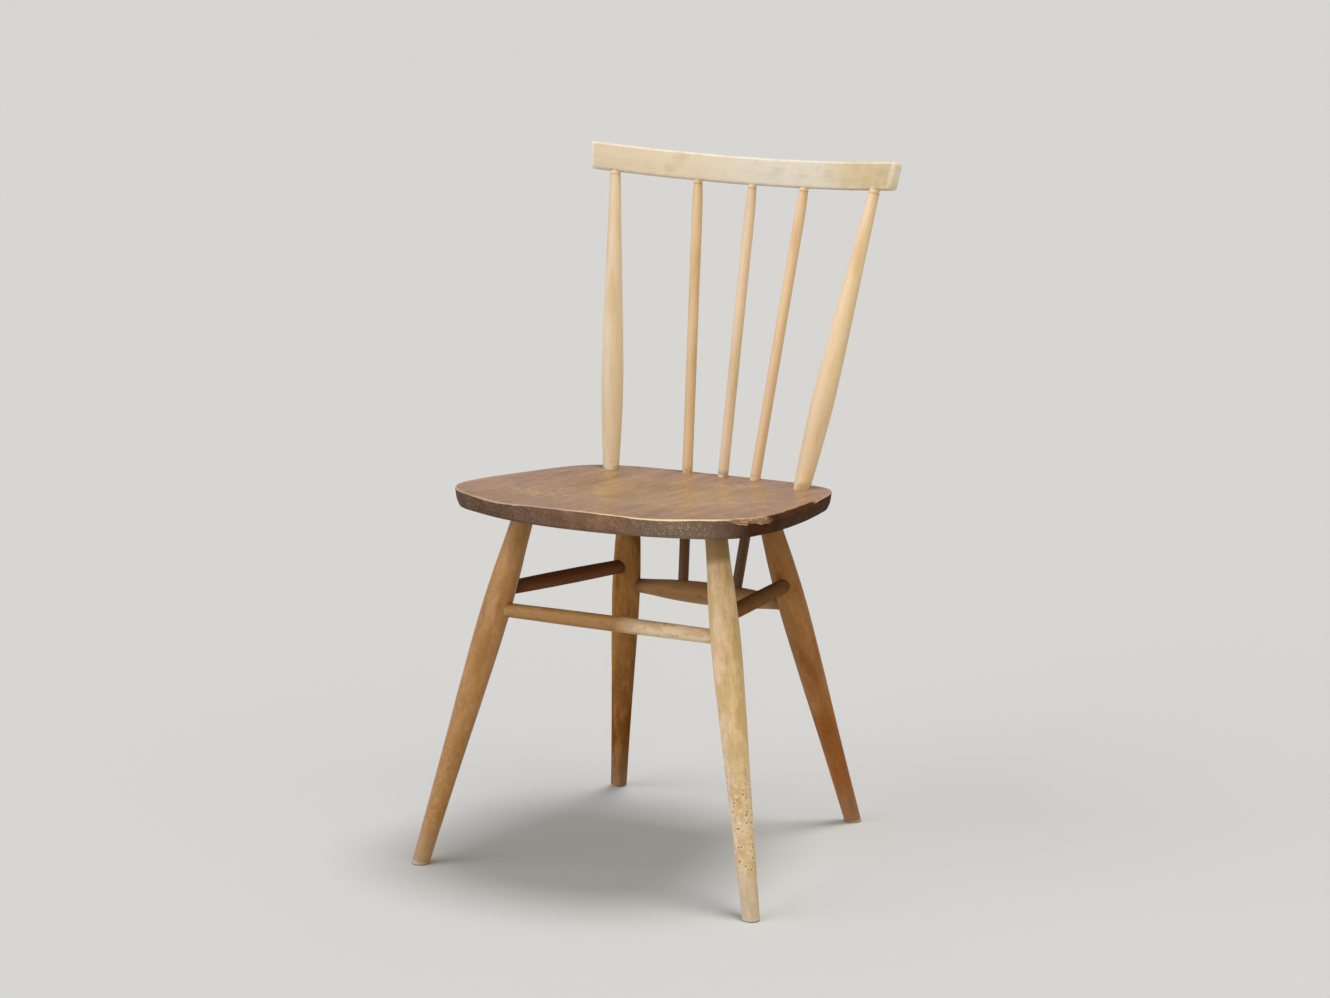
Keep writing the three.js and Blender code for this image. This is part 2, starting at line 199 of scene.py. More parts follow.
class Term:
    """A socket of a shader tree that takes part in sums and products."""

    def __init__(self, shader, socket):
        self.shader = shader
        self.socket = socket

    def _math(self, operation, *values):
        return self.shader.node("ShaderNodeMath", {"operation": operation}, dict(enumerate(values)))

    def __add__(self, other):
        return self._math("ADD", self, other)

    def __sub__(self, other):
        return self._math("SUBTRACT", self, other)

    def __rsub__(self, other):
        return self._math("SUBTRACT", other, self)

    def __mul__(self, other):
        return self._math("MULTIPLY", self, other)

    def __abs__(self):
        return self._math("ABSOLUTE", self)

    __radd__ = __add__
    __rmul__ = __mul__

    def sine(self):
        return self._math("SINE", self)

    def above(self, low, high):
        """0 below low, 1 above high and a smooth step between them."""
        return self.shader.node(
            "ShaderNodeMapRange", {"interpolation_type": "SMOOTHSTEP"},
            {"Value": self, "From Min": low, "From Max": high},
        )

    def below(self, low, high):
        return 1 - self.above(low, high)


class Shader:
    """One material and the nodes that it is made of."""

    def __init__(self, name):
        self.material = bpy.data.materials.new(name)
        self.material.use_nodes = True
        self.tree = self.material.node_tree
        self.tree.nodes.clear()

    def node(self, kind, settings=None, inputs=None, output=0):
        sockets = {
            key: value.socket if isinstance(value, Term) else value for key, value in (inputs or {}).items()
        }
        return Term(self, add_node(self.tree, kind, settings, sockets).outputs[output])

    def attribute(self, name, output="Fac"):
        return self.node("ShaderNodeAttribute", {"attribute_name": name}, output=output)

    def along(self):
        """The distance along the grain from where the piece starts."""
        grain = self.attribute("grain", "Vector")
        return self.node("ShaderNodeSeparateXYZ", {}, {"Vector": grain}, output=2)

    def grain(self, across, along, shift):
        """The piece's own coordinates, stretched so that patterns run along the grain."""
        return self.node("ShaderNodeMapping", {"vector_type": "POINT"}, {
            "Vector": self.attribute("grain", "Vector"),
            "Location": (shift, shift * 0.7, shift * 0.3),
            "Scale": (across, across, along),
        })

    def place(self):
        return self.node("ShaderNodeTexCoord", {}, output="Object")

    def noise(self, vector, scale, detail=3.0, roughness=0.55, distortion=0.0):
        return self.node("ShaderNodeTexNoise", {}, {
            "Vector": vector, "Scale": scale, "Detail": detail, "Roughness": roughness,
            "Distortion": distortion,
        })

    def clouds(self, scale, **looks):
        """Noise that is alike in all directions."""
        return self.noise(self.place(), scale, **looks)

    def streaks(self, across, along, shift, **looks):
        """Noise that follows the grain."""
        return self.noise(self.grain(across, along, shift), 1.0, **looks)

    def cells(self, vector, scale):
        """Distance to the nearest of a field of scattered points."""
        return self.node("ShaderNodeTexVoronoi", {"feature": "F1"}, {"Vector": vector, "Scale": scale})

    def near(self, point, radius, softness):
        """1 close to a point of the chair and 0 away from it."""
        ends = {0: self.place(), 1: tuple(point)}
        distance = self.node("ShaderNodeVectorMath", {"operation": "DISTANCE"}, ends, output="Value")
        return distance.below(radius * softness, radius)

    def mix(self, factor, a, b):
        colours = {0: factor, 6: paint(a), 7: paint(b)}
        return self.node("ShaderNodeMix", {"data_type": "RGBA"}, colours, output=2)

    def coats(self, ground, *coats):
        """Colours laid over a ground one after another, each as far as its mask says."""
        for mask, tone in coats:
            ground = self.mix(mask, ground, tone)
        return ground

    def scaled(self, a, factor):
        """A colour made lighter or darker by a number that varies."""
        return self.node("ShaderNodeVectorMath", {"operation": "SCALE"}, {0: a, "Scale": factor})

    def surface(self, base, roughness, height, depth, specular=0.35):
        bump = self.node("ShaderNodeBump", {}, {"Height": height, "Strength": 1.0, "Distance": depth})
        return self.node("ShaderNodeBsdfPrincipled", {}, {
            "Base Color": base, "Roughness": roughness, "Normal": bump, "Specular IOR Level": specular,
        })

    def finish(self, surface):
        add_node(self.tree, "ShaderNodeOutputMaterial", {}, {"Surface": surface.socket})
        return self.material


def paint(value):
    """A colour as a socket's value: a plain colour gets an alpha of 1."""
    return value if isinstance(value, Term) else (*value[:3], 1.0)


def toned(value, *factors):
    """A colour times one factor, or times one factor for each channel."""
    each = factors if len(factors) > 1 else factors * 3
    return tuple(min(1.0, channel * factor) for channel, factor in zip(value, each))


# Materials

FOOT_WEAR = (0.42, 0.35, 0.27)
FOOT_RIM = (0.50, 0.48, 0.40)
FOOT_SOLE = (0.16, 0.15, 0.145)
SIDE_STRETCHERS = {"left": (0.170, 0.066, 0.032), "right": (0.170, 0.086, 0.034)}
SCRATCHED_BEECH = (0.80, 0.74, 0.66)
STICK_TINTS = {
    "left_outer_stick": (0.97, 1.03, 1.10),
    "right_outer_stick": (1.08, 1.08, 1.06),
    "left_inner_stick": (0.92, 0.88, 0.80),
    "right_inner_stick": (1.08, 1.02, 0.96),
    "centre_stick": (1.03, 1.04, 1.10),
}
STICK_BELOW_SEAT = (0.125, 0.052, 0.011)
RAIL_SMUDGE = (0.32, 0.30, 0.29)
RAIL_EDGE_WEAR_AND_HIGHLIGHT = (0.80, 0.73, 0.62)
SCUFFED_ELM = (0.60, 0.46, 0.34)
SCRATCHED_ELM = (0.74, 0.62, 0.50)
SCRAPED_EDGE = (0.225, 0.185, 0.145)
SPECKED_EDGE = (0.50, 0.42, 0.34)

# Marks on the seat, as places from the datum and a reach, in metres
SCUFFS = (
    (-0.105, -0.098, 0.042),
    (-0.080, 0.100, 0.024),
    (0.045, 0.118, 0.035),
    (0.120, -0.020, 0.040),
)


def figured(shader, base, shift, contrast):
    """Straight-grained beech: broad soft bands, fine lines and short dark flecks along the grain."""
    bands = shader.streaks(70, 3, shift, distortion=0.6)
    lines = shader.streaks(420, 7, shift + 5, detail=4, roughness=0.65)
    flecks = shader.streaks(900, 120, shift + 9, detail=1).above(0.66, 0.76)
    tone = 1 + (bands - 0.5) * (contrast * 2.4) + (lines - 0.5) * (contrast * 1.6) - flecks * 0.1
    return shader.scaled(base, tone), lines, flecks


def pits(shader, scale, low, high):
    """Small pits, thick where a slow noise is high: 1 inside each one, and 1 on the rims round them."""
    field = shader.cells(shader.place(), scale) + (shader.clouds(scale * 1.3) - 0.5) * 0.5
    chosen = shader.clouds(scale * 0.11, detail=2).above(low, high)
    hollow = field.below(0.14, 0.30)
    return hollow * chosen, field.below(0.32, 0.50) * chosen * (1 - hollow)


def leg_wood(name, colours, upper, lower, length, shift, rubbed, speckle, neck_finish_and_shade, sheen):
    """Old clear-finished beech: a neck darkened by older finish and painted shade, soft mottling, rubbed
    patches, pits and a worn foot.
    """
    shader = Shader(name)
    along = shader.along()
    slow = shader.clouds(9) - 0.5
    blend = (along + slow * 0.2).above(length * 0.2, length * 0.62)
    ground, lines, flecks = figured(shader, shader.mix(blend, lower, upper), shift, 0.12)
    patches = shader.streaks(52, 15, shift + 3, detail=4, roughness=0.6)
    ground = shader.coats(
        ground,
        (patches.above(0.50, 0.66) * 0.7, toned(upper, 1.16, 1.22, 1.5)),
        (patches.below(0.36, 0.50) * 0.75, toned(lower, 0.82, 0.80, 0.55)),
    )
    mottle = shader.streaks(150, 95, shift + 13, roughness=0.6)
    olive = shader.streaks(44, 20, shift + 17, roughness=0.6).above(0.50, 0.60)
    dirty = shader.streaks(190, 22, shift + 7, detail=4, roughness=0.6).above(0.54, 0.68)
    wander = along + slow * 0.14
    worn_band = wander.above(length * 0.07, length * 0.17) * wander.below(length * 0.30, length * 0.48)
    scuffs = shader.streaks(230, 150, shift + 11, detail=5, roughness=0.7)
    pale = scuffs.above(0.60, 0.69) * (0.1 + 0.2 * rubbed + worn_band * (0.4 * speckle))
    smears = scuffs.below(0.36, 0.44) * (0.2 + worn_band * rubbed * 0.45)
    neck = (along + slow * 0.01).above(length * 0.905, length * 0.935)
    hollow, rims = pits(shader, 158, 0.30, 0.42)
    small_pits = hollow * worn_band * speckle
    foot = (along + slow * 0.05).below(0.004, 0.075)
    rim = along.below(0.0015, 0.005) * shader.clouds(160).above(0.36, 0.52)
    ground = shader.coats(
        shader.scaled(ground, 0.74 + mottle * 0.52),
        (olive * (0.15 + 0.5 * rubbed), toned(upper, 0.82, 0.78, 0.48)),
        (dirty * (0.3 + 0.1 * rubbed), toned(lower, 0.66, 0.50, 0.40)),
        (pale, toned(upper, 1.35, 1.5, 2.0)),
        (smears, toned(lower, 0.55, 0.36, 0.24)),
        # Dark band on the neck: partly an older, darker finish and partly painted shade from the seat
        (neck * neck_finish_and_shade, toned(lower, 0.34, 0.225, 0.05)),
        (rims * worn_band * speckle * 0.7, colours.bare),
        (small_pits * 0.75, toned(colours.grime, 3.0)),
        (foot * (0.14 + 0.42 * rubbed), FOOT_WEAR),
        (rim * 0.7, FOOT_RIM),
        (along.below(0.0002, 0.0014) * 0.7, FOOT_SOLE),
    )
    roughness = 0.40 + patches * 0.24 + small_pits * 0.2 + foot * 0.2
    height = lines * 0.25 - flecks * 0.2 - small_pits * 1.2 + patches * 0.3 - pale * 0.3
    return shader.finish(shader.surface(ground, roughness, height, 0.00035, sheen))


def stretcher_wood(name, colours, base, length, shift, sheen, rubbed_at):
    """A stretcher: grimy by its ends, nicked, and rubbed pale where feet rest on it."""
    shader = Shader(name)
    along = shader.along()
    ground, lines, flecks = figured(shader, base, shift, 0.2)
    patches = shader.streaks(70, 30, shift + 3, detail=5, roughness=0.65)
    wear = patches.above(0.56, 0.68) * 0.2
    if rubbed_at:
        low, high = rubbed_at
        middle = along.above(length * (low - 0.16), length * low)
        middle = middle * along.below(length * high, length * (high + 0.06))
        ends = along.below(length * 0.02, length * 0.06) * patches.above(0.42, 0.56)
        wear = wear + middle * (0.45 + patches.above(0.36, 0.52) * 0.4) + ends * 0.6
    dirt = along.below(0.014, 0.030) + along.above(length - 0.030, length - 0.014)
    blots = shader.streaks(120, 60, shift + 19, detail=4, roughness=0.6).below(0.34, 0.46)
    ground = shader.coats(
        ground,
        (wear, toned(colours.bare, 0.94) if rubbed_at else toned(base, 1.9)),
        (dirt * (0.08 if rubbed_at else 0.45), colours.grime),
        (blots * 0.35, toned(base, 0.5, 0.38, 0.3)),
    )
    fine = shader.streaks(260, 330, shift + 23, detail=5, roughness=0.75, distortion=1.0)
    scuff = along.above(length * 0.635, length * 0.65) * along.below(length * 0.67, length * 0.70)
    scratches = fine.above(0.56, 0.62) * (wear.above(0.1, 0.7) * 0.5 + scuff) * 0.8
    if rubbed_at:
        ground = shader.mix(scratches, ground, SCRATCHED_BEECH)
    height = lines * 0.3 - flecks * 0.2 - scratches * 0.6 + wear * 0.3
    return shader.finish(shader.surface(ground, 0.46 + wear * 0.2, height, 0.0004, sheen))


def stick_wood(name, colours, base, length, shift, depth):
    """A pale stick: yellower in places, grimy where it stands in the seat and dark below it."""
    shader = Shader(name)
    along = shader.along()
    ground, lines, flecks = figured(shader, base, shift, 0.13)
    patches = shader.streaks(60, 10, shift + 2, detail=4)
    marks = shader.streaks(300, 240, shift + 6, detail=4, roughness=0.7).above(0.66, 0.74)
    collar = shader.clouds(90).above(0.42, 0.60) * along.below(depth + 0.002, depth + 0.010)
    ground = shader.coats(
        ground,
        (along.below(depth + 0.08, depth + 0.20) * 0.5, toned(base, 0.86, 0.86, 0.88)),
        (patches.above(0.5, 0.70) * 0.4, toned(base, 1.14)),
        (patches.below(0.32, 0.48) * 0.55, toned(base, 0.84, 0.70, 0.48)),
        (marks * 0.5, toned(base, 0.42)),
        (collar * 0.4, colours.grime),
    )
    if depth > SEAT_SOCKET:
        below = shader.scaled(STICK_BELOW_SEAT, 0.7 + patches * 0.6)
        ground = shader.mix(along.below(depth - 0.02, depth) * 0.97, ground, below)
    # Painted shade standing in for a groove under the rail, with a painted highlight standing in for a ring
    # above it
    ground = shader.coats(
        ground,
        (along.above(length - 0.006, length - 0.0035) * 0.4, toned(base, 0.4, 0.3, 0.2)),
        (along.above(length - 0.0033, length - 0.0027) * 0.8, toned(base, 1.2)),
    )
    height = lines * 0.3 - flecks * 0.25 - marks * 0.6
    return shader.finish(shader.surface(ground, 0.42 + patches * 0.18, height, 0.0002))


def rail_wood(colours):
    """The crest rail: cream, rubbed whitest in the middle, yellower to the right, with pale edges that are
    partly rubbed and partly a painted highlight.
    """
    shader = Shader("rail_beech")
    along = shader.along()
    slow = shader.streaks(16, 9, 2) - 0.5
    worn = (abs(along - 0.035) + slow * 0.1).below(0.02, 0.13)
    ends = (along + slow * 0.05).above(0.085, 0.135) * along.below(0.196, 0.202)
    base = shader.coats(colours.rail, (worn * 0.85, colours.rail_worn), (ends * 0.8, colours.rail_end))
    ground, lines, flecks = figured(shader, base, 21, 0.06)
    marks = shader.streaks(60, 26, 7, detail=5, roughness=0.6)
    stains = shader.streaks(90, 12, 15, detail=4).above(0.56, 0.68)
    smudge = rail_point(bpy.context.scene.chair_rail, 0.035, 0.021, 0.0075)
    smudge = shader.near(smudge, 0.012, 0.2) * marks.above(0.40, 0.55)
    # Pale rounded edges and ends: partly rubbed wood, partly a painted highlight along the edges
    rubbed = shader.attribute("edge") * (0.4 + shader.clouds(70, detail=4).above(0.36, 0.60) * 0.6)
    nicks = pits(shader, 150, 0.60, 0.68)[0]
    ground = shader.coats(
        ground,
        (marks.above(0.54, 0.70) * 0.3, toned(colours.rail_end, 0.85)),
        (stains * 0.3, toned(colours.rail, 0.66)),
        (smudge * 0.4, RAIL_SMUDGE),
        (rubbed * 0.8, RAIL_EDGE_WEAR_AND_HIGHLIGHT),
        (nicks * 0.4, colours.grime),
    )
    height = lines * 0.3 - flecks * 0.2 - nicks
    return shader.finish(shader.surface(ground, 0.5 + marks * 0.2, height, 0.0002))


def seat_top(shader, colours, lines, pores):
    """The top of the seat, with its front-to-back figure and its wear, and a mask of its scuffs."""
    stripes = (shader.streaks(34, 2.2, 4, detail=2, distortion=1.4) * 52).sine()
    cloud = shader.clouds(9, detail=4, roughness=0.6) - 0.5
    patches = shader.streaks(26, 15, 17, detail=4)
    top = shader.coats(
        colours.seat,
        ((shader.attribute("rim") + cloud * 1.1).above(0.45, 1.0), colours.seat_rim),
        (patches.above(0.52, 0.66) * 0.3, toned(colours.seat, 1.3)),
        (patches.below(0.34, 0.46) * 0.3, toned(colours.seat_rim, 0.72)),
    )
    broad = shader.streaks(62, 7, 23, detail=4, roughness=0.6) - 0.5
    broad = broad + shader.near(from_datum(0.07, -0.02, 0.43), 0.13, 0.2) * 0.13
    tone = 1 + stripes * 0.10 + (lines - 0.5) * 0.95 + cloud * 0.45 + broad * 0.9 - pores * 0.3
    scratch = shader.streaks(150, 230, 31, detail=7, roughness=0.8, distortion=1.2)
    seat = bpy.context.scene.chair_seat
    marked = sum(
        shader.near(from_datum(x, y, seat_plane(seat, y)), reach * 1.7, 0.1) for x, y, reach in SCUFFS
    )
    marked = marked * shader.clouds(42, detail=4, roughness=0.65).above(0.40, 0.54)
    scuff = scratch.above(0.60, 0.66) * 0.3 + marked * scratch.above(0.52, 0.57) * 0.35
    wander = shader.streaks(150, 75, 37, roughness=0.7, distortion=0.6)
    hairs = (marked * 0.8 + 0.1) * abs(wander - 0.5).below(0.008, 0.022) * scratch.above(0.42, 0.50)
    top = shader.coats(
        shader.scaled(top, tone),
        (scuff, SCUFFED_ELM),
        (hairs, SCRATCHED_ELM),
        (scratch.below(0.30, 0.40) * 0.3, toned(colours.seat, 0.55)),
    )
    return top, scuff


def seat_side(shader, colours):
    """The edge of the seat: grimy end grain at the front with painted light towards its right, scraped near
    the right corner, dark sides.
    """
    ends = shader.attribute("end_grain")
    # Painted light: the front end grain is lighter towards the right of the front and darker at its left
    lit = shader.near(from_datum(0.09, -0.22, 0.42), 0.21, 0.3)
    front = shader.mix(lit, toned(colours.seat_edge, 0.80), toned(colours.seat_edge, 1.4))
    side = shader.mix(ends.above(0.35, 0.85), colours.seat_side, front)
    blotches = shader.clouds(34, detail=5, roughness=0.6)
    side = shader.mix(blotches.above(0.46, 0.64) * 0.5, side, shader.scaled(side, 1.6))
    side = shader.mix(blotches.below(0.34, 0.46) * 0.5, side, shader.scaled(side, 0.55))
    weave = shader.clouds(330, detail=4, roughness=0.75)
    rough = shader.clouds(14, detail=2).above(0.44, 0.56)
    scraped = shader.near(from_datum(0.130, -0.192, 0.425), 0.085, 0.1)
    specks = (shader.cells(shader.place(), 400) + (weave - 0.5) * 0.7).below(0.18, 0.36)
    specks = specks * (rough * 0.35 + scraped * 0.75)
    holes = shader.cells(shader.grain(760, 760, 5), 1).below(0.12, 0.3)
    holes = holes * shader.clouds(20).above(0.45, 0.6)
    return shader.coats(
        shader.scaled(side, 0.15 + weave * 1.7),
        (scraped * 0.5, SCRAPED_EDGE),
        (specks * ends * 0.85, SPECKED_EDGE),
        (holes * ends * 0.55, colours.grime),
    )


def seat_wood(colours):
    """Worn elm: a satin top and dull edges, with a rubbed arris between them and a broken corner."""
    shader = Shader("seat_elm")
    edge = shader.attribute("edge")
    arris = shader.attribute("arris")
    broken = shader.attribute("chip")
    lines = shader.streaks(330, 8, 8, detail=5, roughness=0.68)
    pores = shader.streaks(1100, 60, 12, detail=2).above(0.60, 0.72)
    top, scuff = seat_top(shader, colours, lines, pores)
    bright = shader.near(from_datum(0.10, -0.195, 0.44), 0.11, 0.4)
    bright = bright + shader.near(from_datum(-0.17, 0.08, 0.43), 0.16, 0.5) * 0.6
    cut = shader.clouds(60, detail=5, roughness=0.65) - 0.5
    worn = (arris + cut * 1.2 + bright * 0.3).above(0.52, 0.80)
    rubbed = shader.mix(bright, toned(colours.arris, 0.80), toned(colours.arris, 1.22))
    fresh = broken.above(0.2, 0.6)
    splinters = shader.streaks(400, 60, 9, detail=5, roughness=0.7)
    torn = shader.coats(
        toned(colours.seat, 0.68),
        (splinters.above(0.44, 0.66), toned(colours.arris, 0.85)),
        ((arris * broken.above(0.02, 0.15)).above(0.4, 0.8), toned(colours.arris, 1.3)),
    )
    ground = shader.coats(
        top,
        (edge, seat_side(shader, colours)),
        (worn * (0.7 + bright * 0.25), rubbed),
        (fresh * 0.9, torn),
    )
    grit = shader.clouds(620, roughness=0.7)
    height = lines * 0.5 - pores * 0.6 - scuff * 0.5 + edge * grit * 1.6 + fresh * splinters * 3
    satin = shader.surface(ground, 0.22 + lines * 0.18 + scuff * 0.3, height, 0.0005, 0.3)
    dull = shader.surface(ground, 0.7, height, 0.0005, 0.06)
    return shader.finish(shader.node("ShaderNodeMixShader", {}, {0: edge, 1: satin, 2: dull}))


# Mesh helpers

SHARP_ANGLE = math.radians(50)


def new_piece(name, mesh, node):
    """Puts a finished mesh in the place of its CAD node."""
    piece = bpy.data.objects.new(name, mesh)
    bpy.context.scene.collection.objects.link(piece)
    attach(piece, "root")
    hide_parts(node)


def loft(name, rings, material):
    """A closed skin over rings of equal length, with a face over each end ring."""
    count, width = rings.shape[:2]
    faces = []
    for r in range(count - 1):
        for i in range(width):
            j = (i + 1) % width
            faces.append((r * width + i, (r + 1) * width + i, (r + 1) * width + j, r * width + j))
    faces.append(tuple(range(width)))
    faces.append(tuple(reversed(range((count - 1) * width, count * width))))
    mesh = bpy.data.meshes.new(name)
    mesh.from_pydata(rings.reshape(-1, 3).tolist(), [], faces)
    mesh.shade_smooth()
    mesh.set_sharp_from_angle(angle=SHARP_ANGLE)
    mesh.materials.append(material)
    return mesh


def store(mesh, name, values, kind="FLOAT"):
    """Writes one value, or one vector, for each point of a mesh."""
    attribute = mesh.attributes.new(name, kind, "POINT")
    field = "vector" if kind == "FLOAT_VECTOR" else "value"
    attribute.data.foreach_set(field, np.asarray(values, np.float32).ravel())


def points_of(mesh):
    co = np.empty(len(mesh.vertices) * 3, np.float32)
    mesh.vertices.foreach_get("co", co)
    return co.reshape(-1, 3).astype(float)


def store_grain(mesh, start, axis):
    """Stores each point's place across and along an axis, for patterns that follow the grain."""
    along = axis.normalized()
    across = along.orthogonal().normalized()
    third = along.cross(across)
    turn = np.array([across, third, along])
    store(mesh, "grain", (points_of(mesh) - np.array(start)) @ turn.T, "FLOAT_VECTOR")


def smooth(low, high, value):
    t = np.clip((value - low) / (high - low), 0, 1)
    return t * t * (3 - 2 * t)


# Turned pieces

TURNING_INPUTS = {
    "Start": "Vector", "End": "Vector", "Sides": "Int", "Rings": "Int", "Unevenness": "Float",
    "Seed": "Float", "Material": "Material",
}
# A float curve runs from 0 to 1, so radii are given to it as shares of this one
PROFILE_SCALE = 0.02
SWELL_SCALE = 26.0
FOOT_RING = 0.0008
FOOT_ROUNDING = 0.0011


def turning_tree(name, stations):
    """Geometry nodes that turn a piece between two points to a profile of shares and radii."""
    tree = bpy.data.node_groups.new(name, "GeometryNodeTree")
    for label, kind in TURNING_INPUTS.items():
        tree.interface.new_socket(label, in_out="INPUT", socket_type=f"NodeSocket{kind}")
    tree.interface.new_socket("Geometry", in_out="OUTPUT", socket_type="NodeSocketGeometry")
    given = tree.nodes.new("NodeGroupInput").outputs

    def node(kind, inputs=None, settings=None):
        return add_node(tree, kind, settings, inputs).outputs

    def maths(operation, a, b):
        return node("ShaderNodeMath", {0: a, 1: b}, {"operation": operation})[0]

    line = node("GeometryNodeCurvePrimitiveLine", {"Start": given["Start"], "End": given["End"]})
    rings = node("GeometryNodeResampleCurve", {"Curve": line[0], "Count": given["Rings"]})
    share = node("GeometryNodeSplineParameter")["Factor"]
    profile = add_node(tree, "ShaderNodeFloatCurve", {}, {"Value": share})
    curve = profile.mapping.curves[0]
    first, *middle, last = [(at, radius / PROFILE_SCALE) for at, radius in stations]
    curve.points[0].location = first
    for station in middle:
        curve.points.new(*station)
    curve.points[-1].location = last
    profile.mapping.update()
    radius = maths("MULTIPLY", profile.outputs[0], PROFILE_SCALE)
    circle = node("GeometryNodeCurvePrimitiveCircle", {"Resolution": given["Sides"], "Radius": 1.0})
    body = node("GeometryNodeCurveToMesh", {
        "Curve": rings[0], "Profile Curve": circle["Curve"], "Scale": radius, "Fill Caps": True,
    })
    swell = node(
        "ShaderNodeTexNoise", {"W": given["Seed"], "Scale": SWELL_SCALE, "Detail": 1.0},
        {"noise_dimensions": "4D"},
    )
    amount = maths("MULTIPLY", maths("SUBTRACT", swell[0], 0.5), given["Unevenness"])
    normal = node("GeometryNodeInputNormal")[0]
    push = node("ShaderNodeVectorMath", {0: normal, "Scale": amount}, {"operation": "SCALE"})
    moved = node("GeometryNodeSetPosition", {"Geometry": body[0], "Offset": push[0]})
    rounded = node("GeometryNodeSetShadeSmooth", {"Geometry": moved[0]})
    joined = node("GeometryNodeRealizeInstances", {"Geometry": rounded[0]})
    coated = node("GeometryNodeSetMaterial", {"Geometry": joined[0], "Material": given["Material"]})
    node("NodeGroupOutput", {0: coated[0]})
    return tree


def turned(name, tree, start, end, material, seed):
    """A turned piece as a plain mesh, with its grain along its axis."""
    sizes = bpy.context.scene.chair_turning
    holder = bpy.data.objects.new(name, bpy.data.meshes.new(name))
    bpy.context.scene.collection.objects.link(holder)
    modifier = holder.modifiers.new(tree.name, "NODES")
    modifier.node_group = tree
    given = {
        "Start": tuple(start), "End": tuple(end), "Sides": sizes.sides, "Rings": sizes.rings,
        "Unevenness": sizes.unevenness, "Seed": float(seed), "Material": material,
    }
    for socket in tree.interface.items_tree:
        if socket.in_out == "INPUT":
            modifier[socket.identifier] = given[socket.name]
    graph = bpy.context.evaluated_depsgraph_get()
    mesh = bpy.data.meshes.new_from_object(holder.evaluated_get(graph))
    mesh.name = name
    bpy.data.objects.remove(holder)
    mesh.set_sharp_from_angle(angle=SHARP_ANGLE)
    store_grain(mesh, start, end - start)
    return mesh


def level_foot(mesh, start, axis):
    """Cuts a leg level with the floor by sliding its lowest ring along the axis, and rounds the rim."""
    along = axis.normalized()
    work = bmesh.new()
    work.from_mesh(mesh)
    rim = [v for v in work.verts if abs((v.co - start).dot(along)) < FOOT_RING]
    for vert in rim:
        vert.co -= along * (vert.co.z / along.z)
    held = set(rim)
    edges = [e for e in work.edges if e.verts[0] in held and e.verts[1] in held]
    bmesh.ops.bevel(work, geom=edges, offset=FOOT_ROUNDING, segments=3, affect="EDGES", clamp_overlap=True)
    for vert in work.verts:
        vert.co.z = max(vert.co.z, 0.0)
    work.to_mesh(mesh)
    work.free()
    mesh.set_sharp_from_angle(angle=SHARP_ANGLE)


def swelled(swell, end, belly):
    """A profile of shares and radii, from one radius at the ends to another at the fullest place."""
    return [(at, end + (belly - end) * fullness) for at, fullness in swell]


# Places on the chair


def from_datum(x, y, z):
    return Vector((x, y + DATUM, z))


def seat_plane(sizes, y):
    """Height of the seat plane at a depth from the datum."""
    return sizes.height - sizes.slope * y


def dishing(sizes, x, y):
    """How far the top of the seat lies below its plane."""
    bowl = sizes.dish * np.exp(-((x / 0.115) ** 2) - ((y - 0.005) / 0.105) ** 2)
    thighs = sizes.thigh_dip * smooth(0.04, 0.15, -y) * np.exp(-(((np.abs(x) - 0.092) / 0.045) ** 2))
    rim = sizes.rim_dip * smooth(0.06, 0.15, y) * np.exp(-((x / 0.1) ** 2))
    return bowl + thighs + rim


def rail_point(sizes, along, up, out):
    """A point of the rail: along its bend, up its face and out of its front."""
    turn = along / sizes.radius
    x = (sizes.radius - out) * math.sin(turn)
    forward = sizes.radius - (sizes.radius - out) * math.cos(turn)
    return from_datum(
        x,
        sizes.depth - forward * math.cos(sizes.rake) + up * math.sin(sizes.rake),
        sizes.height + forward * math.sin(sizes.rake) + up * math.cos(sizes.rake) - sizes.lean * x,
    )


def seat_point(x, y):
    sizes = bpy.context.scene.chair_seat
    return from_datum(x, y, seat_plane(sizes, y) - float(dishing(sizes, x, y)))


def stick_top(spread, side):
    sizes = bpy.context.scene.chair_rail
    return rail_point(sizes, side * sizes.radius * math.asin(spread / sizes.radius), 0, 0)


class Leg:
    """A leg's axis, from the middle of its foot to the underside of the seat."""

    def __init__(self, foot, top, side):
        sizes = bpy.context.scene.chair_seat
        self.foot = from_datum(foot[0] * side, foot[1], 0)
        self.top = from_datum(top[0] * side, top[1], seat_plane(sizes, top[1]) - sizes.thickness)
        self.axis = self.top - self.foot

    def at(self, height):
        return self.foot + self.axis * (height / self.axis.z)


def legs():
    found = {}
    for label, side in SIDES.items():
        found["front", label] = Leg(*FRONT_LEG, side)
        found["rear", label] = Leg(*REAR_LEG, side)
    return found


# Seat

# Corners of the outline's right half, and the share of the front and back where their curve starts
FRONT_CORNER = (0.152, -0.172)
WIDEST_DEPTH = -0.080
REAR_SIDE = (0.174, 0.090)
BACK_CORNER = (0.134, 0.160)
CORNER_BEND = 0.55
# The face of the edge, as insets from the outline and drops from the top, down to the underside
EDGE_FACE = ((0.0015, 0.013), (0.0045, 0.020))
UNDERSIDE_INSET = 0.024
# How far in the rim starts, and how uneven sawn and torn wood are
TOP_INSET = 0.012
SAWN = 0.00015
TORN = 0.0005
TOP_RINGS = 44
ARRIS_RINGS = 15
FACE_RINGS = 9


def quadratic(a, b, c, count=60):
    t = np.linspace(0, 1, count)[:, None]
    return (1 - t) ** 2 * np.array(a) + 2 * (1 - t) * t * np.array(b) + t * t * np.array(c)


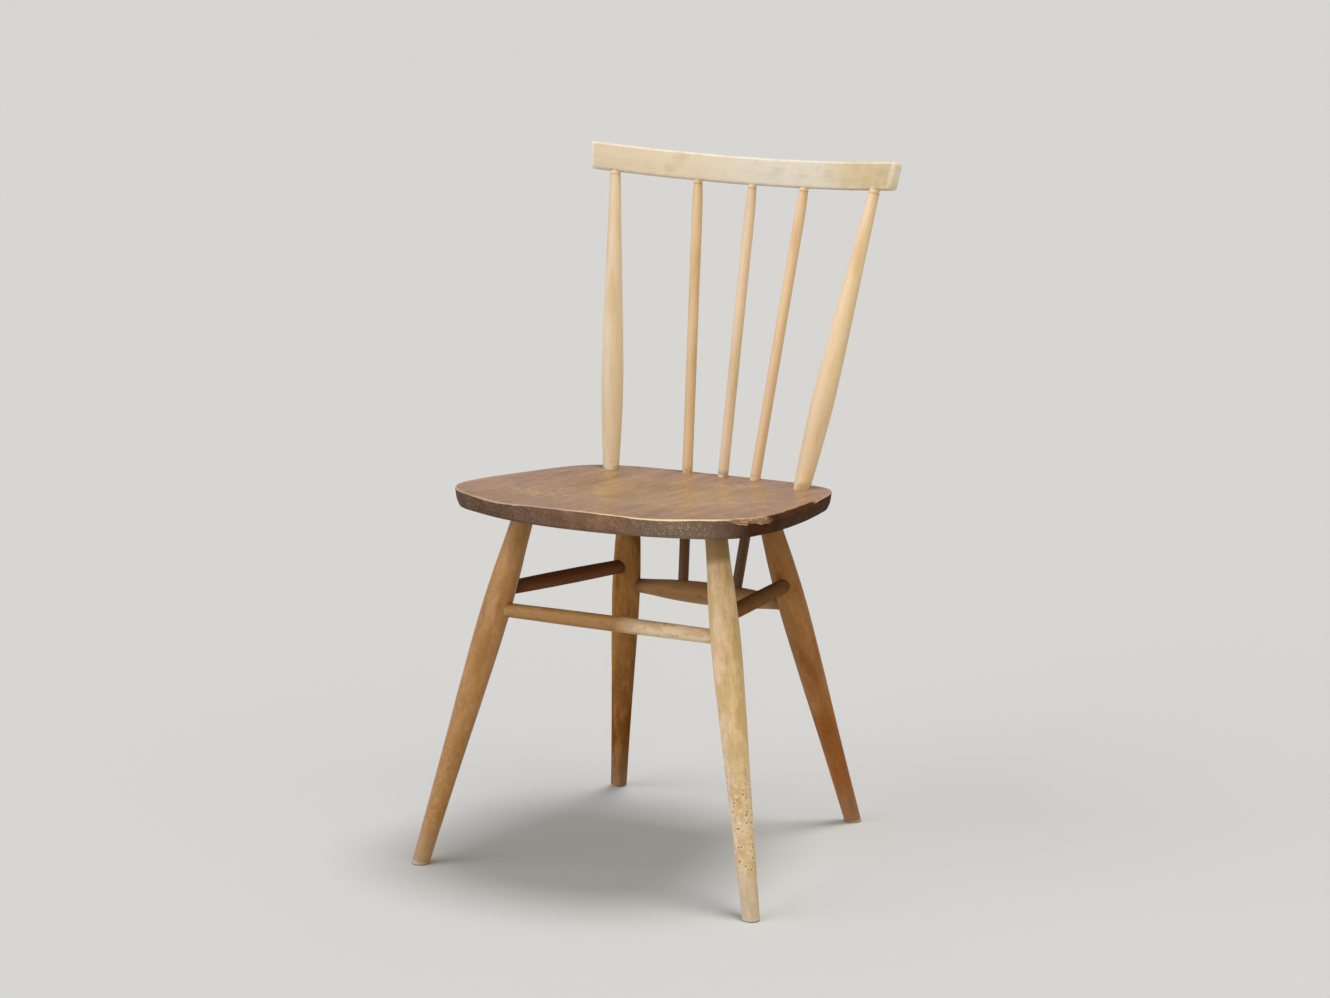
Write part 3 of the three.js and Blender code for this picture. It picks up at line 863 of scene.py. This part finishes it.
def seat_outline(sizes):
    """The outline in plan, from the middle of the front round by the right, evenly spaced."""
    half_width = sizes.half_width
    widest = (half_width, WIDEST_DEPTH)
    half = np.vstack([
        quadratic((0, SEAT_FRONT), (FRONT_CORNER[0] * CORNER_BEND, SEAT_FRONT), FRONT_CORNER),
        quadratic(FRONT_CORNER, (half_width, FRONT_CORNER[1] + 0.032), widest),
        quadratic(widest, (half_width - 0.002, 0), REAR_SIDE),
        quadratic(REAR_SIDE, (0.166, 0.145), BACK_CORNER),
        quadratic(BACK_CORNER, (BACK_CORNER[0] * CORNER_BEND, sizes.back), (0, sizes.back)),
    ])
    reach = np.r_[0, np.cumsum(np.hypot(*np.diff(half, axis=0).T))]
    even = np.linspace(0, reach[-1], sizes.steps // 2 + 1)
    right = np.c_[np.interp(even, reach, half[:, 0]), np.interp(even, reach, half[:, 1])]
    return np.vstack([right, right[-2:0:-1] * (-1, 1)])


def chip_field(outline):
    """How far the rim is broken, over its top and down its edge, and how fresh the break is."""
    x, y = outline.T
    run = smooth(-0.162, -0.143, y) * (1 - smooth(0.01, 0.06, y)) * (x > 0.1)
    along_side = smooth(-0.125, -0.060, y)
    fresh = 1 - smooth(-0.118, -0.092, y) * (x > 0.1)
    spots = [Vector((a * 95, b * 95, 3.1)) for a, b in outline]
    nicks = np.array([max(0.0, noise.noise(spot * 1.3) - 0.38) * 0.8 for spot in spots])
    over, down = (
        np.array([noise.fractal(spot + Vector((0, 0, layer)), 0.6, 2.2, 4) for spot in spots])
        for layer in (0, 9)
    )
    teeth = np.array([abs(noise.noise(spot * 3.1)) for spot in spots])
    over = run * (0.42 + 0.45 * along_side) * (1 + 0.5 * over) + run * teeth * 0.45 + nicks
    down = run * (1 - 0.5 * along_side) * (0.9 + 0.5 * down) + nicks
    return np.clip(over, 0, 1.3), np.clip(down, 0, 1.3), fresh


def seat_mesh(sizes, material):
    outline = seat_outline(sizes)
    count = len(outline)
    along = np.roll(outline, -1, 0) - np.roll(outline, 1, 0)
    along /= np.linalg.norm(along, axis=1)[:, None]
    inward = np.c_[-along[:, 1], along[:, 0]]
    wear = np.array([noise.fractal(Vector((x * 18, y * 18, 0.7)), 0.8, 2.0, 3) for x, y in outline])
    wear = (0.0016 + 0.0011 * wear).clip(0.0007, 0.004)
    over, down, fresh = chip_field(outline)
    broken = np.clip(np.maximum(over, down) * 1.6, 0, 1)
    inset_reach = wear + sizes.chip_width * over
    drop_reach = wear + sizes.chip_depth * down
    none = np.zeros(count)
    layers = {"edge": [], "rim": [], "arris": [], "chip": []}
    rings = []

    def add(inset, drop, share=1.0, **marks):
        """One ring: drawn in from the outline, dropped from the top and marked for the material."""
        plan = (outline + inward * (none + inset)[:, None]) * share
        sunk = dishing(sizes, plan[:, 0], plan[:, 1]) * (1 - smooth(0.008, 0.013, drop))
        z = seat_plane(sizes, plan[:, 1]) - drop - sunk
        rings.append(np.c_[plan[:, 0], plan[:, 1] + DATUM, z])
        for name, values in layers.items():
            values.append(none + marks.get(name, 0.0))

    def rough(step, amount):
        return np.array([noise.noise(Vector((x * 170, y * 170, step * 2.5))) for x, y in outline]) * amount

    for share in np.linspace(0.02, 1, TOP_RINGS) ** 0.8:
        add(TOP_INSET, 0, share, rim=share)
    for step in np.linspace(0, 1, FACE_RINGS)[1:-1]:
        add(TOP_INSET + (inset_reach - TOP_INSET) * step, 0, rim=1, arris=smooth(0.8, 1, step) * 0.5)
    for step in np.linspace(0, 1, ARRIS_RINGS):
        turn = step * math.pi / 2
        inset = (1 - math.sin(turn)) * (1 - broken) + (1 - step) * broken
        drop = (1 - math.cos(turn)) * (1 - broken) + step * broken
        uneven = rough(step, TORN) * broken * math.sin(math.pi * step)
        ridge = 1 - smooth(0, 0.28, step) + smooth(0.72, 1, step)
        rubbed = 1 - smooth(0.5, 1, abs(2 * step - 0.9))
        add(
            inset_reach * inset + np.abs(uneven), drop_reach * drop, rim=1,
            edge=np.maximum(smooth(0.55, 0.95, step), broken * (1 - fresh) * smooth(0.05, 0.2, step)),
            arris=rubbed * (1 - broken) + ridge * broken * (0.4 + 0.6 * fresh),
            chip=broken * fresh * math.sin(math.pi * min(0.92, step + 0.08)),
        )
    inset_from, drop_from = 0, drop_reach
    for inset_to, drop_to in (*EDGE_FACE, (UNDERSIDE_INSET, sizes.thickness)):
        for step in np.linspace(0, 1, FACE_RINGS)[1:]:
            add(
                inset_from + (inset_to - inset_from) * step + SAWN + rough(drop_to + step, SAWN),
                drop_from + (drop_to - drop_from) * step, rim=1, edge=1,
            )
        inset_from, drop_from = inset_to, drop_to
    for share in np.linspace(1, 0.05, 10)[1:]:
        add(inset_from, drop_from, share, rim=share, edge=1)
    mesh = loft("seat", np.array(rings), material)
    for name, values in layers.items():
        store(mesh, name, np.concatenate(values))
    store(mesh, "end_grain", np.tile(np.abs(inward[:, 1]), len(rings)))
    store(mesh, "grain", points_of(mesh)[:, [0, 2, 1]], "FLOAT_VECTOR")
    return mesh


# Crest rail

SECTION_POINTS = 40
RAIL_RINGS = 150
CORNER_RINGS = 13
# Half the width of the step between the rail's faces and its pale ends
END_BLEND = 0.004


def rail_section(sizes, shrink):
    """The rounded oblong section, drawn in all round, as distances out and up."""
    height = sizes.board - 2 * shrink
    thickness = sizes.thickness - min(2 * shrink, sizes.thickness * 0.6)
    radius = min(sizes.edge, thickness / 2 - 0.0002)
    section = []
    for corner, (side_out, side_up) in enumerate(((1, 1), (-1, 1), (-1, -1), (1, -1))):
        for step in np.linspace(0, 1, SECTION_POINTS // 4):
            turn = (corner + step) * math.pi / 2
            section.append((
                side_out * (thickness / 2 - radius) + radius * math.cos(turn),
                sizes.board / 2 + side_up * (height / 2 - radius) + radius * math.sin(turn),
            ))
    return section


def rail_mesh(sizes, material):
    flat_half = sizes.half_length - sizes.corner
    middle = sizes.board / 2
    stations = [(flat_half * t, 0.0) for t in np.linspace(-1, 1, RAIL_RINGS)]
    for turn in np.linspace(0, math.pi / 2, CORNER_RINGS)[1:]:
        station = flat_half + sizes.corner * math.sin(turn)
        shrink = sizes.corner * (1 - math.cos(turn))
        stations.append((station, shrink))
        stations.insert(0, (-station, shrink))
    rings, grain, edge = [], [], []
    for along, shrink in stations:
        ring = []
        for out, up in rail_section(sizes, shrink):
            splay = sizes.splay * (up / sizes.board - 0.5) * along / sizes.half_length
            worn = 0.00025 + 0.0002 * noise.noise(Vector((along * 22, up * 30, out * 30)))
            worn_up = middle + (up - middle) * (1 - worn / middle)
            ring.append(rail_point(sizes, along + splay, worn_up, out - math.copysign(worn, out)))
            grain.append((out, up, along))
            height = abs(up / sizes.board - 0.5) * 2
            depth = abs(out) / (sizes.thickness / 2)
            end = smooth(flat_half - END_BLEND, flat_half + END_BLEND, abs(along))
            edge.append(max(float(smooth(0.72, 0.9, height) * smooth(0.5, 0.8, depth)), float(end)))
        rings.append(ring)
    mesh = loft("crest_rail", np.array(rings), material)
    store(mesh, "grain", grain, "FLOAT_VECTOR")
    store(mesh, "edge", edge)
    return mesh


# Operators

# Profiles of the turned pieces: shares of the length, and how full the piece is there
LEG_SWELL = ((0, 0), (0.16, 0.2), (0.34, 0.48), (0.52, 0.82), (0.70, 1), (0.82, 0.83), (0.93, 0.48))
STRETCHER_SWELL = ((0, 0), (0.07, 0.04), (0.29, 0.74), (0.5, 1), (0.71, 0.74), (0.93, 0.04), (1, 0))
# Each kind of piece has noise of its own, from here on
STRETCHER_SEED = 20
STICK_SEED = 40
# The stretch of the front stretcher that is rubbed pale, as shares of its length
RUBBED_AT = (0.68, 0.98)

# Lights, by name: aim, strength, spread in degrees and colour
LIGHTS = {
    "key": ((-0.15, -0.08, -1.0), 1.95, 22, (1.0, 0.985, 0.96)),
    "window": ((0.62, 0.85, -0.42), 1.75, 60, (0.98, 0.985, 1.0)),
    "fill": ((-0.90, 0.55, -0.35), 0.90, 80, (1.0, 0.78, 0.20)),
}
SKY_COLOUR = (0.93, 0.95, 1.0, 1)
SKY_STRENGTH = 0.34
FLOOR_REACH = 60
FRAME_WIDTH = 36


class ChairOperator(bpy.types.Operator):
    bl_options = {"REGISTER", "UNDO"}


class CHAIR_OT_seat(ChairOperator):
    """Make the dished seat board"""

    bl_idname = "chair.seat"
    bl_label = "Seat"

    def execute(self, context):
        mesh = seat_mesh(context.scene.chair_seat, seat_wood(context.scene.chair_colours))
        new_piece("seat_board", mesh, "seat")
        return {"FINISHED"}


class CHAIR_OT_rail(ChairOperator):
    """Make the bent crest rail"""

    bl_idname = "chair.rail"
    bl_label = "Crest rail"

    def execute(self, context):
        mesh = rail_mesh(context.scene.chair_rail, rail_wood(context.scene.chair_colours))
        new_piece("bent_rail", mesh, "crest_rail")
        return {"FINISHED"}


class CHAIR_OT_legs(ChairOperator):
    """Turn the four legs and cut them level with the floor"""

    bl_idname = "chair.legs"
    bl_label = "Legs"

    def execute(self, context):
        sizes = context.scene.chair_turning
        colours = context.scene.chair_colours
        # The neck value darkens a leg's neck, partly for older finish and partly as painted shade from the
        # seat
        looks = {
            ("front", "left"): {
                "upper": colours.leg_honey, "lower": toned(colours.leg_honey, 0.9),
                "rubbed": 0.4, "speckle": 0.15, "neck_finish_and_shade": 0.05, "sheen": 0.3,
            },
            ("front", "right"): {
                "upper": colours.leg_pale, "lower": colours.leg_worn,
                "rubbed": 0.9, "speckle": 1.0, "neck_finish_and_shade": 0.75, "sheen": 0.3,
            },
            ("rear", "left"): {
                "upper": toned(colours.leg_ochre, 1.25), "lower": toned(colours.leg_red, 0.66),
                "rubbed": 0.2, "speckle": 0.0, "neck_finish_and_shade": 0.0, "sheen": 0.0,
            },
            ("rear", "right"): {
                "upper": colours.leg_olive, "lower": colours.leg_red,
                "rubbed": 0.25, "speckle": 0.0, "neck_finish_and_shade": 0.0, "sheen": 0.12,
            },
        }
        length = legs()["front", "left"].axis.length
        profile = [*swelled(LEG_SWELL, sizes.foot, sizes.belly), (1, sizes.neck)]
        stations = [(at * length / (length + SEAT_SOCKET), radius) for at, radius in profile]
        tree = turning_tree("Turned leg", [*stations, (1, sizes.neck)])
        for seed, ((row, label), leg) in enumerate(legs().items()):
            node = f"{row}_{label}_leg"
            material = leg_wood(
                f"{node}_beech", colours, length=leg.axis.length, shift=3.7 * seed, **looks[row, label]
            )
            end = leg.foot + leg.axis * (1 + SEAT_SOCKET / leg.axis.length)
            mesh = turned(f"{node}_turned", tree, leg.foot, end, material, seed)
            level_foot(mesh, leg.foot, leg.axis)
            new_piece(f"{node}_turned", mesh, node)
        return {"FINISHED"}


class CHAIR_OT_stretchers(ChairOperator):
    """Turn the four stretchers that tie the legs"""

    bl_idname = "chair.stretchers"
    bl_label = "Stretchers"

    def execute(self, context):
        sizes = context.scene.chair_turning
        colours = context.scene.chair_colours
        slim = swelled(STRETCHER_SWELL, sizes.stretcher_end, sizes.stretcher_belly)
        light = turning_tree("Turned stretcher", slim)
        full = swelled(STRETCHER_SWELL, sizes.rear_end, sizes.rear_belly)
        heavy = turning_tree("Turned rear stretcher", full)
        found = legs()
        front = [found["front", label].at(FRONT_STRETCHER_HEIGHT) for label in SIDES]
        rear = [found["rear", label].at(REAR_STRETCHER_HEIGHT) for label in SIDES]
        spans = {
            "front_stretcher": (light, *front, toned(colours.leg_honey, 0.80), 0.15, RUBBED_AT),
            "rear_stretcher": (heavy, *rear, toned(colours.leg_honey, 0.78), 0.15, None),
        }
        for label, tone in SIDE_STRETCHERS.items():
            ends = [
                found[row, label].at(height) for row, height in zip(("front", "rear"), SIDE_STRETCHER_HEIGHTS)
            ]
            spans[f"{label}_side_stretcher"] = (light, *ends, tone, 0.0, None)
        for seed, (node, (tree, a, b, tone, sheen, rubbed_at)) in enumerate(spans.items()):
            step = (b - a).normalized() * STRETCHER_GAP
            length = (b - a).length - 2 * STRETCHER_GAP
            shift = 40 + 3.1 * seed
            material = stretcher_wood(f"{node}_beech", colours, tone, length, shift, sheen, rubbed_at)
            mesh = turned(f"{node}_turned", tree, a + step, b - step, material, STRETCHER_SEED + seed)
            new_piece(f"{node}_turned", mesh, node)
        return {"FINISHED"}


class CHAIR_OT_sticks(ChairOperator):
    """Turn the five sticks of the back"""

    bl_idname = "chair.sticks"
    bl_label = "Sticks"

    def execute(self, context):
        sizes = context.scene.chair_turning
        colours = context.scene.chair_colours

        def stick(node, foot, spread, side, depth, profile, seed):
            """One stick, to a profile that gives the radius of its lower end and then, for each
            place, a share of the visible length, a distance on from there and the radius."""
            start = seat_point(foot[0] * side, foot[1])
            top = stick_top(spread, side)
            step = (top - start).normalized()
            length = (top - start).length
            end = depth + length + RAIL_SOCKET
            foot_radius, *rest = profile
            stations = [(0.0, foot_radius)]
            for share, beyond, radius in rest:
                stations.append(((depth + length * share + beyond) / end, radius))
            tree = turning_tree(f"Turned {node}", [*stations, (1.0, sizes.tip)])
            base = toned(colours.stick, *STICK_TINTS[node])
            material = stick_wood(f"{node}_beech", colours, base, depth + length, 70 + 3.3 * seed, depth)
            mesh = turned(
                f"{node}_turned", tree, start - step * depth, top + step * RAIL_SOCKET, material,
                STICK_SEED + seed,
            )
            new_piece(f"{node}_turned", mesh, node)

        bulb = sizes.outer_bulb
        outer = (
            sizes.outer_foot - 0.0007, (0, 0, sizes.outer_foot), (0.14, 0, sizes.outer_foot * 1.25),
            (0.28, 0, bulb), (0.42, 0, bulb * 0.945), (0.62, 0, bulb * 0.78), (0.86, 0, bulb * 0.588),
            (1, 0, sizes.outer_top),
        )
        inner = (
            sizes.inner, (0.3, 0, sizes.inner), (0.7, 0, sizes.inner), (1, -0.034, sizes.inner),
            (1, -0.015, sizes.inner - 0.0005), (1, -0.002, sizes.tip + 0.0002),
        )
        # The two inner sticks run on through the seat to the axis of the rear stretcher
        start = seat_point(*INNER_STICK[0])
        top = stick_top(INNER_STICK[1], SIDES["right"])
        rise = (top.z - start.z) / (top - start).length
        through = (start.z - REAR_STRETCHER_HEIGHT - 0.001) / rise
        for seed, (label, side) in enumerate(SIDES.items()):
            stick(f"{label}_outer_stick", *OUTER_STICK, side, SEAT_SOCKET, outer, seed)
            stick(f"{label}_inner_stick", *INNER_STICK, side, through, inner, 10 + seed)
        stick("centre_stick", *CENTRE_STICK, SIDES["right"], SEAT_SOCKET, inner, 20)
        return {"FINISHED"}


class CHAIR_OT_stage(ChairOperator):
    """Set out the floor, the lights and the camera"""

    bl_idname = "chair.stage"
    bl_label = "Stage"

    def execute(self, context):
        scene = context.scene
        settings = scene.chair_stage
        floor = bpy.data.objects.new("floor", bpy.data.meshes.new("floor"))
        scene.collection.objects.link(floor)
        work = bmesh.new()
        bmesh.ops.create_grid(work, x_segments=1, y_segments=1, size=FLOOR_REACH)
        work.to_mesh(floor.data)
        work.free()
        shader = Shader("pale_floor")
        base = paint(scene.chair_colours.floor)
        surface = shader.node("ShaderNodeBsdfPrincipled", {}, {"Base Color": base, "Roughness": 0.85})
        floor.data.materials.append(shader.finish(surface))
        for name, (aim, strength, spread, tone) in LIGHTS.items():
            light = bpy.data.objects.new(name, bpy.data.lights.new(name, "SUN"))
            light.data.energy = strength
            light.data.angle = math.radians(spread)
            light.data.color = tone
            light.location = Vector(aim) * -3
            light.rotation_euler = Vector(aim).to_track_quat("-Z", "Y").to_euler()
            scene.collection.objects.link(light)
        world = bpy.data.worlds.new("studio")
        world.use_nodes = True
        sky = world.node_tree.nodes["Background"]
        sky.inputs["Color"].default_value = SKY_COLOUR
        sky.inputs["Strength"].default_value = SKY_STRENGTH
        scene.world = world
        camera = bpy.data.objects.new("camera", bpy.data.cameras.new("camera"))
        scene.collection.objects.link(camera)
        camera.data.sensor_width = FRAME_WIDTH
        camera.data.lens = settings.lens
        tilt = Matrix.Rotation(math.pi / 2 - settings.pitch, 4, "X")
        turn = Matrix.Rotation(settings.yaw, 4, "Z") @ tilt
        roll = Matrix.Rotation(settings.roll, 4, "Z")
        camera.matrix_world = Matrix.Translation(from_datum(*settings.place)) @ turn @ roll
        scene.camera = camera
        scene.view_settings.view_transform = "Standard"
        return {"FINISHED"}


class CHAIR_PT_panel(bpy.types.Panel):
    """The chair's pieces and its stage"""

    bl_idname = "CHAIR_PT_panel"
    bl_label = "Worn stick-back chair"
    bl_space_type = "VIEW_3D"
    bl_region_type = "UI"
    bl_category = "Chair"

    def draw(self, context):
        for operator in OPERATORS:
            self.layout.operator(operator.bl_idname)
        for name in SETTINGS:
            box = self.layout.box()
            group = getattr(context.scene, name)
            for key in group.bl_rna.properties.keys():
                if key not in {"rna_type", "name"}:
                    box.prop(group, key)


SETTINGS = {
    "chair_seat": ChairSeatSizes,
    "chair_turning": ChairTurningSizes,
    "chair_rail": ChairRailSizes,
    "chair_colours": ChairColours,
    "chair_stage": ChairStageSettings,
}
OPERATORS = (
    CHAIR_OT_stage, CHAIR_OT_seat, CHAIR_OT_rail, CHAIR_OT_legs, CHAIR_OT_stretchers, CHAIR_OT_sticks,
)


def register():
    for cls in (*SETTINGS.values(), *OPERATORS, CHAIR_PT_panel):
        bpy.utils.register_class(cls)
    for name, cls in SETTINGS.items():
        setattr(bpy.types.Scene, name, PointerProperty(type=cls))


def unregister():
    for name in SETTINGS:
        delattr(bpy.types.Scene, name)
    for cls in (CHAIR_PT_panel, *reversed(OPERATORS), *reversed(SETTINGS.values())):
        bpy.utils.unregister_class(cls)


def main():
    register()
    bpy.ops.chair.stage()
    bpy.ops.chair.seat()
    bpy.ops.chair.rail()
    bpy.ops.chair.legs()
    bpy.ops.chair.stretchers()
    bpy.ops.chair.sticks()


if __name__ == "__main__":
    main()
